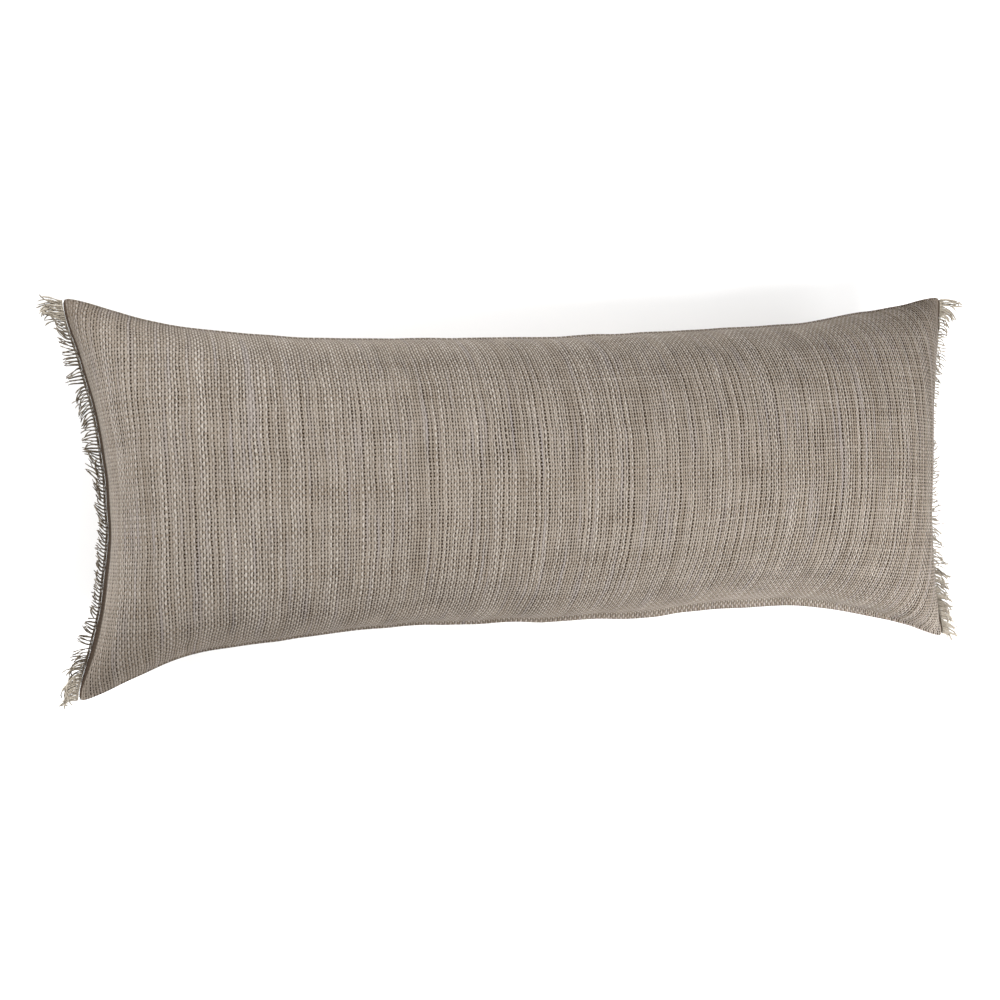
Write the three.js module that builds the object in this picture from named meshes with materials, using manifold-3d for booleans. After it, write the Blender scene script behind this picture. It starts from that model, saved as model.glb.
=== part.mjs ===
import * as THREE from 'three';
import { mergeVertices } from 'three/addons/utils/BufferGeometryUtils.js';
import Module from 'manifold-3d';

// A long lumbar throw pillow lying on its back. Two panels of coarse handspun cloth are sewn together all
// round and filled until the crown rises and the sides draw in. The short ends keep a narrow frayed band.
// X runs along the length, Y across it and Z up through the crown. All sizes are in millimetres.

// Size of the filled cover
const HALF_LENGTH = 432.5; // middle to the end seam, at a corner
const LEFT_DRAW_IN = 30; // how far the fill pulls the middle of the left end seam inwards
const LEFT_SKEW = 0.12; // by what share that pull is stronger below the middle than above it
const RIGHT_DRAW_IN = 20; // the same for the right end seam
const RIGHT_SKEW = 0.45;
const RIGHT_SLANT = 3; // how far the right seam's upper end stands out and its lower end back
const SEAM_HEIGHT = 72; // the seam's height above the surface that the pillow lies on
const BACK_CROWN = 80; // depth of the back's crown, before the surface presses it flat
const SEAM_THICKNESS = 2.4; // two layers of cloth
const UPPER_LIP = 2; // lip that the seam allowance makes along the upper edge
const END_LIP = 2; // the same lip at the short ends
const END_ROUNDNESS = 6; // power of the crown's rise from an end seam: higher is boxier
const BACK_ROUNDNESS = 2.4; // power of the back's cross-section: 2 is an ellipse
const END_CURVE = 1.3; // power of the end seam's bow: higher keeps the corners straighter

// Steps of the panels' surface
const STEPS_ALONG = 50;
const STEPS_ACROSS = 20;
const END_CROWDING = 1.8; // power that crowds the steps towards the steep ends

// Frayed bands at the short ends
const BAND_GAP = 0.3; // gap between the cover and a band
const BAND_WIDTH = 3;
const YARN_PITCH = 3.1; // one frayed yarn for each row of the weave
const YARN_RADIUS = 0.75;
const YARN_ROOT = 2; // length of a yarn inside the band
const YARN_STEPS = 3;
const YARN_SIDES = 3;
const LAYER_LIFT = 2.8; // how far the tips of the front and back panels' yarns part
const CORNER_MARGIN = 2.5; // last yarn to the band's end

// Outline and crown by distance from the middle: the upper and lower edges' distances from the centre line, the
// width of the flat lip along the lower edge, and the front crown's height above the seam.
const STATIONS = [
  { along: -432.5, upper: 172, lower: 172, lowerLip: 2, crown: 85 },
  { along: -390, upper: 161.5, lower: 158, lowerLip: 2, crown: 85.5 },
  { along: -340, upper: 150.5, lower: 142, lowerLip: 2.5, crown: 85.5 },
  { along: -280, upper: 143.5, lower: 135, lowerLip: 3, crown: 85.5 },
  { along: -210, upper: 138.5, lower: 130.5, lowerLip: 3, crown: 85.5 },
  { along: -120, upper: 137, lower: 128.5, lowerLip: 3.5, crown: 85.5 },
  { along: 0, upper: 137.5, lower: 133, lowerLip: 5, crown: 85 },
  { along: 100, upper: 141, lower: 134, lowerLip: 7, crown: 84.5 },
  { along: 190, upper: 144.5, lower: 132.5, lowerLip: 8.5, crown: 84 },
  { along: 270, upper: 149.5, lower: 135.5, lowerLip: 8.5, crown: 83.5 },
  { along: 330, upper: 157, lower: 146.5, lowerLip: 7, crown: 83.5 },
  { along: 390, upper: 165.5, lower: 160, lowerLip: 4, crown: 83 },
  { along: 432.5, upper: 172, lower: 173.5, lowerLip: 3, crown: 83 },
];

// Lay of the frayed yarns by distance from the centre line: how far the tips lean towards the upper edge, in
// degrees, and how far the yarns reach.
const LEFT_LAY = [
  { along: -171, lean: -30, reach: 14 },
  { along: -160, lean: -34, reach: 14 },
  { along: -150, lean: -30, reach: 13 },
  { along: -142, lean: -20, reach: 13 },
  { along: -133, lean: -6, reach: 12 },
  { along: -124, lean: 14, reach: 10 },
  { along: -110, lean: 42, reach: 8 },
  { along: -74, lean: 52, reach: 8 },
  { along: -26, lean: 50, reach: 9 },
  { along: 10, lean: 48, reach: 12 },
  { along: 18, lean: 46, reach: 15 },
  { along: 34, lean: 36, reach: 12 },
  { along: 50, lean: -8, reach: 11 },
  { along: 64, lean: -28, reach: 10 },
  { along: 82, lean: -44, reach: 12 },
  { along: 96, lean: -26, reach: 12 },
  { along: 108, lean: 2, reach: 11 },
  { along: 119, lean: -28, reach: 10 },
  { along: 132, lean: 28, reach: 11 },
  { along: 150, lean: 20, reach: 12 },
  { along: 158, lean: 4, reach: 16 },
  { along: 171, lean: 0, reach: 18 },
];
const RIGHT_LAY = [
  { along: -171, lean: -40, reach: 15 },
  { along: -160, lean: -42, reach: 13 },
  { along: -150, lean: -30, reach: 13 },
  { along: -140, lean: -36, reach: 15 },
  { along: -130, lean: -40, reach: 17 },
  { along: -119, lean: -38, reach: 19 },
  { along: -108, lean: -18, reach: 17 },
  { along: -98, lean: -20, reach: 17 },
  { along: -85, lean: -22, reach: 16 },
  { along: -68, lean: -26, reach: 16 },
  { along: -58, lean: -42, reach: 18 },
  { along: -48, lean: 12, reach: 15 },
  { along: -30, lean: 4, reach: 14 },
  { along: 0, lean: -2, reach: 13 },
  { along: 20, lean: 2, reach: 11 },
  { along: 34, lean: -20, reach: 7 },
  { along: 50, lean: -8, reach: 6 },
  { along: 90, lean: -24, reach: 6 },
  { along: 102, lean: -32, reach: 8 },
  { along: 112, lean: -30, reach: 9 },
  { along: 119, lean: -34, reach: 8 },
  { along: 126, lean: -18, reach: 8 },
  { along: 135, lean: -12, reach: 8 },
  { along: 142, lean: -34, reach: 10 },
  { along: 154, lean: -34, reach: 12 },
  { along: 160, lean: -26, reach: 18 },
  { along: 166, lean: -18, reach: 23 },
  { along: 171, lean: -8, reach: 19 },
];

// Value of one column of a table at a distance between its rows, on a smooth curve through the rows.
function valueAt(rows, column, along) {
  const last = rows.length - 1;
  const clamped = THREE.MathUtils.clamp(along, rows[0].along, rows[last].along);
  const next = rows.findIndex((row, index) => index > 0 && clamped <= row.along);
  const before = rows[next - 1];
  const after = rows[next];
  const slope = (index) => {
    const low = rows[Math.max(index - 1, 0)];
    const high = rows[Math.min(index + 1, last)];
    return (high[column] - low[column]) / (high.along - low.along);
  };
  const span = after.along - before.along;
  const t = (clamped - before.along) / span;
  const rise = after[column] - before[column];
  const start = slope(next - 1) * span;
  const end = slope(next) * span;
  return before[column] + start * t + (3 * rise - 2 * start - end) * t ** 2 + (start + end - 2 * rise) * t ** 3;
}

// A step along the pillow as -1 to 1, crowded towards the ends, and a step across it as -1 to 1 on a sine.
function alongStep(index) {
  const t = (2 * index) / STEPS_ALONG - 1;
  return Math.sign(t) * (1 - (1 - Math.abs(t)) ** END_CROWDING);
}
function acrossStep(index) {
  return Math.sin(Math.PI * (index / STEPS_ACROSS - 0.5));
}

// Place of a cover point in plan. The steps one past the filled body lie on the outside of the seam's lip.
function planPoint(column, row) {
  const bodyColumn = THREE.MathUtils.clamp(column, 0, STEPS_ALONG);
  const bodyRow = THREE.MathUtils.clamp(row, 0, STEPS_ACROSS);
  const u = alongStep(bodyColumn);
  const v = acrossStep(bodyRow);
  const bodyHalf = HALF_LENGTH - END_LIP;
  const station = bodyHalf * u;
  const [pull, skew] = u < 0 ? [LEFT_DRAW_IN, LEFT_SKEW] : [RIGHT_DRAW_IN, RIGHT_SKEW];
  const drawIn = pull * (1 - v * v) ** END_CURVE * (1 - skew * v) * Math.abs(u) ** 8;
  const slant = RIGHT_SLANT * v * Math.max(u, 0) ** 8;
  const lowerLip = valueAt(STATIONS, 'lowerLip', station);
  const upper = valueAt(STATIONS, 'upper', station) - UPPER_LIP;
  const lower = valueAt(STATIONS, 'lower', station) - lowerLip;
  return {
    x: station - Math.sign(u) * drawIn + slant + (column - bodyColumn) * END_LIP,
    y: (upper - lower) / 2 + ((upper + lower) / 2) * v + (row - bodyRow) * (row < 0 ? lowerLip : UPPER_LIP),
    u,
    v,
    station,
  };
}

// Heights of the front and back above the surface: a crown that rises steeply from every seam, the back's
// pressed flat where the pillow rests.
function frontHeight({ u, v, station }) {
  const shape = Math.sqrt((1 - Math.abs(u) ** END_ROUNDNESS) * Math.max(1 - v * v, 0));
  return SEAM_HEIGHT + SEAM_THICKNESS / 2 + valueAt(STATIONS, 'crown', station) * shape;
}
function backHeight({ u, v }) {
  const shape = Math.sqrt((1 - Math.abs(u) ** END_ROUNDNESS) * Math.max(1 - Math.abs(v) ** BACK_ROUNDNESS, 0));
  return Math.max(SEAM_HEIGHT - SEAM_THICKNESS / 2 - BACK_CROWN * shape, 0);
}

// The filled cover: both panels as one closed skin, joined round the rim by the thickness of the seam's lip.
function filledCoverGeometry() {
  const columns = STEPS_ALONG + 3;
  const rows = STEPS_ACROSS + 3;
  const positions = [];
  for (const height of [frontHeight, backHeight]) {
    for (let column = -1; column < columns - 1; column += 1) {
      for (let row = -1; row < rows - 1; row += 1) {
        const point = planPoint(column, row);
        positions.push(point.x, point.y, height(point));
      }
    }
  }
  const front = (column, row) => column * rows + row;
  const back = (column, row) => columns * rows + front(column, row);
  const faces = [];
  const quad = (a, b, c, d) => faces.push(a, b, c, a, c, d);
  for (let column = 0; column < columns - 1; column += 1) {
    for (let row = 0; row < rows - 1; row += 1) {
      quad(front(column, row), front(column + 1, row), front(column + 1, row + 1), front(column, row + 1));
      quad(back(column, row), back(column, row + 1), back(column + 1, row + 1), back(column + 1, row));
    }
  }
  const rim = [];
  for (let column = 0; column < columns - 1; column += 1) rim.push([column, 0]);
  for (let row = 0; row < rows - 1; row += 1) rim.push([columns - 1, row]);
  for (let column = columns - 1; column > 0; column -= 1) rim.push([column, rows - 1]);
  for (let row = rows - 1; row > 0; row -= 1) rim.push([0, row]);
  rim.forEach((here, index) => {
    const there = rim[(index + 1) % rim.length];
    quad(back(...here), back(...there), front(...there), front(...here));
  });
  const geometry = new THREE.BufferGeometry();
  geometry.setAttribute('position', new THREE.Float32BufferAttribute(positions, 3));
  geometry.setIndex(faces);
  geometry.computeVertexNormals();
  return geometry;
}

// The points of an end seam, whose side is -1 for the left end and 1 for the right one, and how far the seam is
// from the middle of the pillow at a distance from the centre line.
function endSeamPoints(side) {
  const column = side < 0 ? -1 : STEPS_ALONG + 1;
  return Array.from({ length: STEPS_ACROSS + 3 }, (_, index) => planPoint(column, index - 1));
}
function endSeamAt(side, y) {
  const points = endSeamPoints(side);
  const next = Math.max(points.findIndex((point) => y <= point.y), 1);
  const low = points[next - 1];
  const high = points[next];
  return side * THREE.MathUtils.mapLinear(y, low.y, high.y, low.x, high.x);
}

// A closed geometry as a solid for joining, and a joined solid as a geometry again.
const wasm = await Module();
wasm.setup();
function toSolid(geometry) {
  geometry.deleteAttribute('normal');
  geometry.deleteAttribute('uv');
  const merged = mergeVertices(geometry);
  return new wasm.Manifold(new wasm.Mesh({
    numProp: 3,
    vertProperties: Float32Array.from(merged.attributes.position.array),
    triVerts: Uint32Array.from(merged.index.array),
  }));
}
function toGeometry(solid) {
  const mesh = solid.getMesh();
  const geometry = new THREE.BufferGeometry();
  geometry.setAttribute('position', new THREE.BufferAttribute(mesh.vertProperties, 3));
  geometry.setIndex(new THREE.BufferAttribute(mesh.triVerts, 1));
  geometry.computeVertexNormals();
  return geometry;
}

// The woven band that holds the yarns: a strip that follows the end seam, as thick as the two panels.
function bandGeometry(side) {
  const edge = (offset) => endSeamPoints(side).map((point) => new THREE.Vector2(point.x + side * offset, point.y));
  const inner = edge(BAND_GAP);
  const outer = edge(BAND_WIDTH).reverse();
  const strip = new THREE.ExtrudeGeometry(new THREE.Shape([...inner, ...outer]), {
    depth: SEAM_THICKNESS,
    steps: 1,
    bevelEnabled: false,
  });
  return strip.translate(0, 0, SEAM_HEIGHT - SEAM_THICKNESS / 2);
}

// One frayed yarn: it leaves the band square to the seam and bends towards its lean. Its tip lifts with the
// front panel's layer or drops with the back's.
function yarnGeometry(side, y, lean, reach, layer) {
  const edge = endSeamAt(side, y) + BAND_WIDTH;
  const angle = THREE.MathUtils.degToRad(lean);
  const rootHeight = SEAM_HEIGHT + layer * (SEAM_THICKNESS / 2 - YARN_RADIUS) * 0.5;
  const path = new THREE.QuadraticBezierCurve3(
    new THREE.Vector3(side * (edge - YARN_ROOT), y, rootHeight),
    new THREE.Vector3(side * (edge + reach * 0.35), y, rootHeight + layer * LAYER_LIFT * 0.4),
    new THREE.Vector3(
      side * (edge + reach * Math.cos(angle)),
      y + reach * Math.sin(angle),
      rootHeight + layer * LAYER_LIFT,
    ),
  );
  const section = new THREE.Shape(
    Array.from({ length: YARN_SIDES }, (_, side) => {
      const turn = (side / YARN_SIDES) * Math.PI * 2;
      return new THREE.Vector2(YARN_RADIUS * Math.cos(turn), YARN_RADIUS * Math.sin(turn));
    }),
  );
  return new THREE.ExtrudeGeometry(section, { steps: YARN_STEPS, bevelEnabled: false, extrudePath: path });
}

// A frayed band with its yarns joined on. Yarns of the front and back panels alternate, and each layer wavers in
// its own slow rhythm.
function frayedBandGeometry(lay, side) {
  const start = -valueAt(STATIONS, 'lower', HALF_LENGTH) + CORNER_MARGIN;
  const end = valueAt(STATIONS, 'upper', HALF_LENGTH) - CORNER_MARGIN;
  const count = Math.floor((end - start) / YARN_PITCH);
  let solid = toSolid(bandGeometry(side));
  for (let index = 0; index <= count; index += 1) {
    const y = start + ((end - start) * index) / count;
    const layer = index % 2 ? 1 : -1;
    const waver = 6 * Math.sin(index * 0.37 + layer) + 3 * Math.sin(index * 0.83 + 2 * layer);
    const lean = valueAt(lay, 'lean', y) + waver;
    const reach = valueAt(lay, 'reach', y) + 1.6 * Math.sin(index * 1.9);
    solid = solid.add(toSolid(yarnGeometry(side, y, lean, reach, layer)));
  }
  return toGeometry(solid);
}

const clothMaterial = new THREE.MeshStandardMaterial({ color: 0x9c9186, roughness: 0.95, metalness: 0 });
const yarnMaterial = new THREE.MeshStandardMaterial({ color: 0x857a69, roughness: 0.95, metalness: 0 });

function namedMesh(name, geometry, material) {
  const mesh = new THREE.Mesh(geometry, material);
  mesh.name = name;
  return mesh;
}

const pillow = new THREE.Group();
pillow.add(namedMesh('filled_cover', filledCoverGeometry(), clothMaterial));
const fringes = new THREE.Group();
fringes.add(namedMesh('left_fringe', frayedBandGeometry(LEFT_LAY, -1), yarnMaterial));
fringes.add(namedMesh('right_fringe', frayedBandGeometry(RIGHT_LAY, 1), yarnMaterial));
pillow.add(fringes);

// The origin is on the surface, under the middle of the whole pillow.
const bounds = new THREE.Box3().setFromObject(pillow);
const middle = bounds.getCenter(new THREE.Vector3());
pillow.position.set(-middle.x, -middle.y, -bounds.min.z);

export default pillow;
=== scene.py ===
import math
import bpy
import numpy as np
from mathutils import Matrix, Vector


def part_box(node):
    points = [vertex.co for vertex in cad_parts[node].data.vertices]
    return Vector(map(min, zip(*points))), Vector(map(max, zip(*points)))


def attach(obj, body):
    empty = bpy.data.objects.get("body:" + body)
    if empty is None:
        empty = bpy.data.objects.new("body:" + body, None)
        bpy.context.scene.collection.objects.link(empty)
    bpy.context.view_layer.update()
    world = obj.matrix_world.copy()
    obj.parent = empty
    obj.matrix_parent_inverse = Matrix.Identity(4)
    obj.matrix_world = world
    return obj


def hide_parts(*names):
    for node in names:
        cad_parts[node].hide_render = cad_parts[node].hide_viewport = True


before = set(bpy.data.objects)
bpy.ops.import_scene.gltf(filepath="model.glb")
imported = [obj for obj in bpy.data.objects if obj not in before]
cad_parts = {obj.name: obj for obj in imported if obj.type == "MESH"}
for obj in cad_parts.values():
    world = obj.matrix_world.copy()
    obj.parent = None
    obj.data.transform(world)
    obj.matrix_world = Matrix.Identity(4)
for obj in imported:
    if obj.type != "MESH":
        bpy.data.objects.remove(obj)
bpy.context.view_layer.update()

# The filled cover
# Two panels of coarse handspun plain weave, cut 356 by 914 mm, sewn together all round, turned and filled.
# The fill raises the crown and draws the sides in, and the seam allowance inside keeps a narrow lip along
# the edges. A cloth simulation lets the filled panels settle and pucker against their seams.
HALF_LENGTH = 0.4325         # middle to end seam, at a corner
END_DRAW_IN = (0.030, 0.020)     # how far the fill pulls the middle of the left and the right seam inwards
BOW_SKEW = (0.12, 0.45)      # by what share the pull is stronger below the middle than above it
RIGHT_SLANT = 0.003          # how far the right seam's upper end stands out and its lower end back
SEAM_HEIGHT = 0.072          # the seam above the floor
BACK_CROWN = 0.080           # depth of the back's crown before the floor presses it flat
END_LIP = 0.002              # lip along the short ends
PANEL = (0.896, 0.346)       # a panel's flat size inside the stitching
CELLS = (120, 46)            # cells along and across a panel
CUTTING_ROUNDS = 12          # by then the panel's lines are cut evenly both ways
FILL_PRESSURE = 4.0
SETTLING_FRAMES = 20
MOST_PUCKER = 0.004          # how far a point may move while the cloth settles

# Distance from the middle, upper and lower edge from the centre line, crown above the seam, and both lips
STATIONS = np.array([
    (-0.4325, 0.1720, 0.1720, 0.0850, 0.0020, 0.0020),
    (-0.390, 0.1615, 0.1580, 0.0855, 0.0020, 0.0020),
    (-0.340, 0.1505, 0.1420, 0.0855, 0.0020, 0.0025),
    (-0.280, 0.1435, 0.1350, 0.0855, 0.0020, 0.0030),
    (-0.210, 0.1385, 0.1305, 0.0855, 0.0020, 0.0030),
    (-0.120, 0.1370, 0.1285, 0.0855, 0.0020, 0.0035),
    (0.000, 0.1375, 0.1330, 0.0850, 0.0020, 0.0050),
    (0.100, 0.1410, 0.1340, 0.0845, 0.0020, 0.0070),
    (0.190, 0.1445, 0.1325, 0.0840, 0.0020, 0.0085),
    (0.270, 0.1495, 0.1355, 0.0835, 0.0020, 0.0085),
    (0.330, 0.1570, 0.1465, 0.0835, 0.0020, 0.0070),
    (0.390, 0.1655, 0.1600, 0.0830, 0.0020, 0.0040),
    (0.4325, 0.1720, 0.1735, 0.0830, 0.0020, 0.0030),
])
UPPER, LOWER, CROWN, UPPER_LIP, LOWER_LIP = 1, 2, 3, 4, 5

# Section of the seam lip from the front panel round to the back one: share of the lip's width, and height
LIP_SECTION = np.array([
    (0.00, 0.0010), (0.55, 0.0013), (0.92, 0.0010), (1.00, 0.0004),
    (0.94, 0.0000),
    (1.00, -0.0004), (0.92, -0.0010), (0.55, -0.0013), (0.00, -0.0010),
])
SEAM_GROOVE = 4              # the row of the section where the two panels' edges meet


def station_value(column, x):
    """A column of the stations at distance x: a cubic through the rows, whose slope at a row is that
    between its two neighbours."""
    along, values = STATIONS[:, 0], STATIONS[:, column]
    last = len(along) - 1
    slopes = np.empty(last + 1)
    slopes[1:-1] = (values[2:] - values[:-2]) / (along[2:] - along[:-2])
    slopes[0] = (values[1] - values[0]) / (along[1] - along[0])
    slopes[-1] = (values[-1] - values[-2]) / (along[-1] - along[-2])
    x = np.clip(x, along[0], along[-1])
    k = np.clip(np.searchsorted(along, x) - 1, 0, last - 1)
    span = along[k + 1] - along[k]
    t = (x - along[k]) / span
    rise = values[k + 1] - values[k]
    start, end = slopes[k] * span, slopes[k + 1] * span
    return values[k] + start * t + (3 * rise - 2 * start - end) * t**2 + (start + end - 2 * rise) * t**3


def panel_surface(u, v, front):
    """A filled panel at u along and v across, both from -1 to 1, inside its lips. Height above or below the
    seam is the crown times the root of (1 - |u|^6) (1 - |v|^p), so the panel leaves every seam steeply; p
    is 2 in front and 2.4 behind."""
    station = (HALF_LENGTH - END_LIP) * u
    draw_in, skew = (np.where(u < 0, *pair) for pair in (END_DRAW_IN, BOW_SKEW))
    bow = draw_in * (1 - v**2) ** 1.3 * (1 - skew * v)
    x = station - np.sign(u) * bow * np.abs(u) ** 8 + RIGHT_SLANT * v * np.maximum(u, 0) ** 8
    upper = station_value(UPPER, station) - station_value(UPPER_LIP, station)
    lower = station_value(LOWER, station) - station_value(LOWER_LIP, station)
    y = (upper - lower) / 2 + (upper + lower) / 2 * v
    power = 2.0 if front else 2.4
    rise = np.sqrt(np.clip((1 - np.abs(u) ** 6) * (1 - np.abs(v) ** power), 0, 1))
    depth = station_value(CROWN, station) if front else -BACK_CROWN
    return np.stack([x, y, SEAM_HEIGHT + depth * rise], -1)


def evenly_cut(u, v, front):
    """A grid on the panel whose lines along its first axis are cut again, where their running length
    divides evenly."""
    steps = np.linalg.norm(np.diff(panel_surface(u, v, front), axis=0), axis=2)
    length = np.concatenate([np.zeros((1, u.shape[1])), np.cumsum(steps, axis=0)])
    even = np.linspace(0, 1, len(u))[:, None] * length[-1]
    return tuple(
        np.stack([np.interp(cut, line, value) for cut, line, value in zip(even.T, length.T, grid.T)], 1)
        for grid in (u, v))


def evenly_laid_panel(front):
    """The same surface with its grid laid as on the flat cloth: its lengthways and its crossways lines are
    cut evenly in turn, until both agree."""
    u, v = np.meshgrid(*(np.sin(np.linspace(-np.pi / 2, np.pi / 2, 2 * cells + 1)) for cells in CELLS),
                       indexing="ij")
    for _ in range(CUTTING_ROUNDS):
        u, v = evenly_cut(u, v, front)
        u, v = (grid.T for grid in evenly_cut(u.T, v.T, front))
    return panel_surface(u, v, front)[::2, ::2]


def grid_faces(index, turned):
    """The four corners of every cell of a grid of vertex numbers, the other way round for a face that looks
    down."""
    faces = np.stack([index[:-1, :-1], index[1:, :-1], index[1:, 1:], index[:-1, 1:]], -1).reshape(-1, 4)
    return faces[:, ::-1] if turned else faces


def evened(field, reach):
    """Every value of a grid averaged with its neighbours under a bell curve, reach cells wide, first along
    and then across."""
    offsets = np.arange(-3 * reach, 3 * reach + 1)
    weights = np.exp(-0.5 * (offsets / reach) ** 2)
    weights /= weights.sum()
    for axis in (0, 1):
        margin = [(0, 0)] * field.ndim
        margin[axis] = (3 * reach, 3 * reach)
        padded = np.pad(field, margin, mode="edge")
        span = field.shape[axis]
        field = sum(weight * np.take(padded, np.arange(span) + offset + 3 * reach, axis)
                    for weight, offset in zip(weights, offsets))
    return field


front_panel = evenly_laid_panel(True)
back_panel = evenly_laid_panel(False)
grid_shape = front_panel.shape[:2]
on_seam = np.zeros(grid_shape, bool)
on_seam[[0, -1], :] = on_seam[:, [0, -1]] = True
back_panel[on_seam] = front_panel[on_seam]
flat_x, flat_y = np.meshgrid(
    np.linspace(-PANEL[0] / 2, PANEL[0] / 2, grid_shape[0]),
    np.linspace(-PANEL[1] / 2, PANEL[1] / 2, grid_shape[1]), indexing="ij")
front_index = np.arange(on_seam.size).reshape(grid_shape)


def settled_panels():
    """Both panels after Blender's cloth has been blown up by the fill for some frames. Every edge wants the
    length that it has on the flat cloth, so cloth that is spare along the drawn-in seams puckers."""
    back_index = np.where(on_seam, front_index, on_seam.size + (np.cumsum(~on_seam) - 1).reshape(grid_shape))
    flat = np.stack([flat_x, flat_y, np.full_like(flat_x, SEAM_HEIGHT)], -1)
    start = np.concatenate([front_panel.reshape(-1, 3), back_panel[~on_seam]])
    rest = np.concatenate([flat.reshape(-1, 3), flat[~on_seam]])
    mesh = bpy.data.meshes.new("settling_cover")
    mesh.from_pydata(start.tolist(), [], np.concatenate([
        grid_faces(front_index, False), grid_faces(back_index, True)]).tolist())
    settling = bpy.data.objects.new("settling_cover", mesh)
    bpy.context.scene.collection.objects.link(settling)
    settling.shape_key_add(name="filled")
    flat_key = settling.shape_key_add(name="flat")
    flat_key.data.foreach_set("co", rest.astype(np.float32).ravel())
    cloth = settling.modifiers.new("cloth", "CLOTH")
    cloth.settings.quality = 8
    cloth.settings.mass = 0.3
    cloth.settings.tension_stiffness = 15
    cloth.settings.compression_stiffness = 15
    cloth.settings.shear_stiffness = 5
    cloth.settings.bending_stiffness = 10
    cloth.settings.tension_damping = 25
    cloth.settings.compression_damping = 25
    cloth.settings.shear_damping = 25
    cloth.settings.bending_damping = 5
    cloth.settings.air_damping = 5
    cloth.settings.use_pressure = True
    cloth.settings.uniform_pressure_force = FILL_PRESSURE
    cloth.settings.rest_shape_key = flat_key
    cloth.settings.effector_weights.gravity = 0
    cloth.collision_settings.use_collision = False
    cloth.point_cache.frame_start = 1
    cloth.point_cache.frame_end = SETTLING_FRAMES
    for number in range(1, SETTLING_FRAMES + 1):
        bpy.context.scene.frame_set(number)
    settled = settling.evaluated_get(bpy.context.evaluated_depsgraph_get()).data
    points = np.empty(len(settled.vertices) * 3, np.float32)
    settled.vertices.foreach_get("co", points)
    bpy.context.scene.frame_set(1)
    bpy.data.objects.remove(settling)
    points = points.reshape(-1, 3).astype(float)
    return points[front_index], points[back_index]


def pucker(settled, start):
    """What settling adds at the scale of puckers: the move of each point, evened over one cell, less the
    same evened over six, and never more than the cap."""
    move = settled - start
    move = evened(move, 1) - evened(move, 6)
    length = np.linalg.norm(move, axis=2, keepdims=True) + 1e-9
    return move / length * MOST_PUCKER * np.tanh(length / MOST_PUCKER)


settled_front, settled_back = settled_panels()
front_pucker = pucker(settled_front, front_panel)
back_pucker = pucker(settled_back, back_panel)
shared = (front_pucker + back_pucker)[on_seam] / 2
front_pucker[on_seam] = back_pucker[on_seam] = shared
front_panel = front_panel + front_pucker
back_panel = back_panel + back_pucker
back_panel[..., 2] = np.maximum(back_panel[..., 2], 0)

# The seam's points in order round the cover, and which way and how far the lip stands out at each
along_count, across_count = CELLS
seam_i = np.concatenate([
    np.arange(along_count), np.full(across_count, along_count),
    np.arange(along_count, 0, -1), np.zeros(across_count, int)])
seam_j = np.concatenate([
    np.zeros(along_count, int), np.arange(across_count),
    np.full(along_count, across_count), np.arange(across_count, 0, -1)])
seam_points = front_panel[seam_i, seam_j]
lip_width = np.stack([
    END_LIP * np.where(seam_i == along_count, 1.0, np.where(seam_i == 0, -1.0, 0.0)),
    np.where(seam_j == across_count, station_value(UPPER_LIP, seam_points[:, 0]), 0.0)
    - np.where(seam_j == 0, station_value(LOWER_LIP, seam_points[:, 0]), 0.0)], -1)

# Rings of the lip between the two panels' own outermost rows
ring_size = len(seam_points)
share, height = LIP_SECTION[:, 0, None], LIP_SECTION[:, 1, None]
rings = np.stack([
    seam_points[None, :, 0] + share * lip_width[None, :, 0],
    seam_points[None, :, 1] + share * lip_width[None, :, 1],
    seam_points[None, :, 2] + height], -1)
front_panel[seam_i, seam_j] = rings[0]
back_panel[seam_i, seam_j] = rings[-1]
inner_rings = rings[1:-1].reshape(-1, 3)
cover_points = np.concatenate([front_panel.reshape(-1, 3), inner_rings, back_panel.reshape(-1, 3)])
own_middle = (cover_points.min(0) + cover_points.max(0)) / 2
cad_low, cad_high = (np.array(corner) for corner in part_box("filled_cover"))
to_frame = np.array([*((cad_low + cad_high) / 2 - own_middle)[:2], 0.0])
cover_points = cover_points + to_frame
back_index = on_seam.size + len(inner_rings) + front_index
ring_index = np.concatenate([
    front_index[seam_i, seam_j][None],
    on_seam.size + np.arange(len(inner_rings)).reshape(-1, ring_size),
    back_index[seam_i, seam_j][None]])
ring_index = np.concatenate([ring_index, ring_index[:, :1]], axis=1)
lip_faces = np.stack([
    ring_index[1:, :-1], ring_index[1:, 1:], ring_index[:-1, 1:], ring_index[:-1, :-1]], -1).reshape(-1, 4)
cover_faces = np.concatenate([grid_faces(front_index, False), lip_faces, grid_faces(back_index, True)])

# Where each point lies on the flat cloth, in metres; the back panel is another piece of the same cloth
flat_front = np.stack([flat_x, flat_y], -1)
flat_rings = flat_front[seam_i, seam_j] + share[:, :, None] * lip_width[None]
flat_points = np.concatenate([
    flat_front.reshape(-1, 2), flat_rings[1:-1].reshape(-1, 2), flat_front.reshape(-1, 2)])
face_cloth = flat_points[cover_faces.ravel()]
front_corners = 4 * (along_count * across_count + SEAM_GROOVE * ring_size)
face_cloth[front_corners:] += (0.0, 0.5)

cover_mesh = bpy.data.meshes.new("woven_cover")
cover_mesh.from_pydata(cover_points.tolist(), [], cover_faces.tolist())
cover_mesh.shade_smooth()
cover_mesh.uv_layers.new(name="cloth").data.foreach_set("uv", face_cloth.astype(np.float32).ravel())
cover = bpy.data.objects.new("woven_cover", cover_mesh)
bpy.context.scene.collection.objects.link(cover)
rounding = cover.modifiers.new("rounding", "SUBSURF")
rounding.levels = rounding.render_levels = 1
rounding.uv_smooth = "PRESERVE_BOUNDARIES"
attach(cover, "root")
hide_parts("filled_cover")


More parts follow.
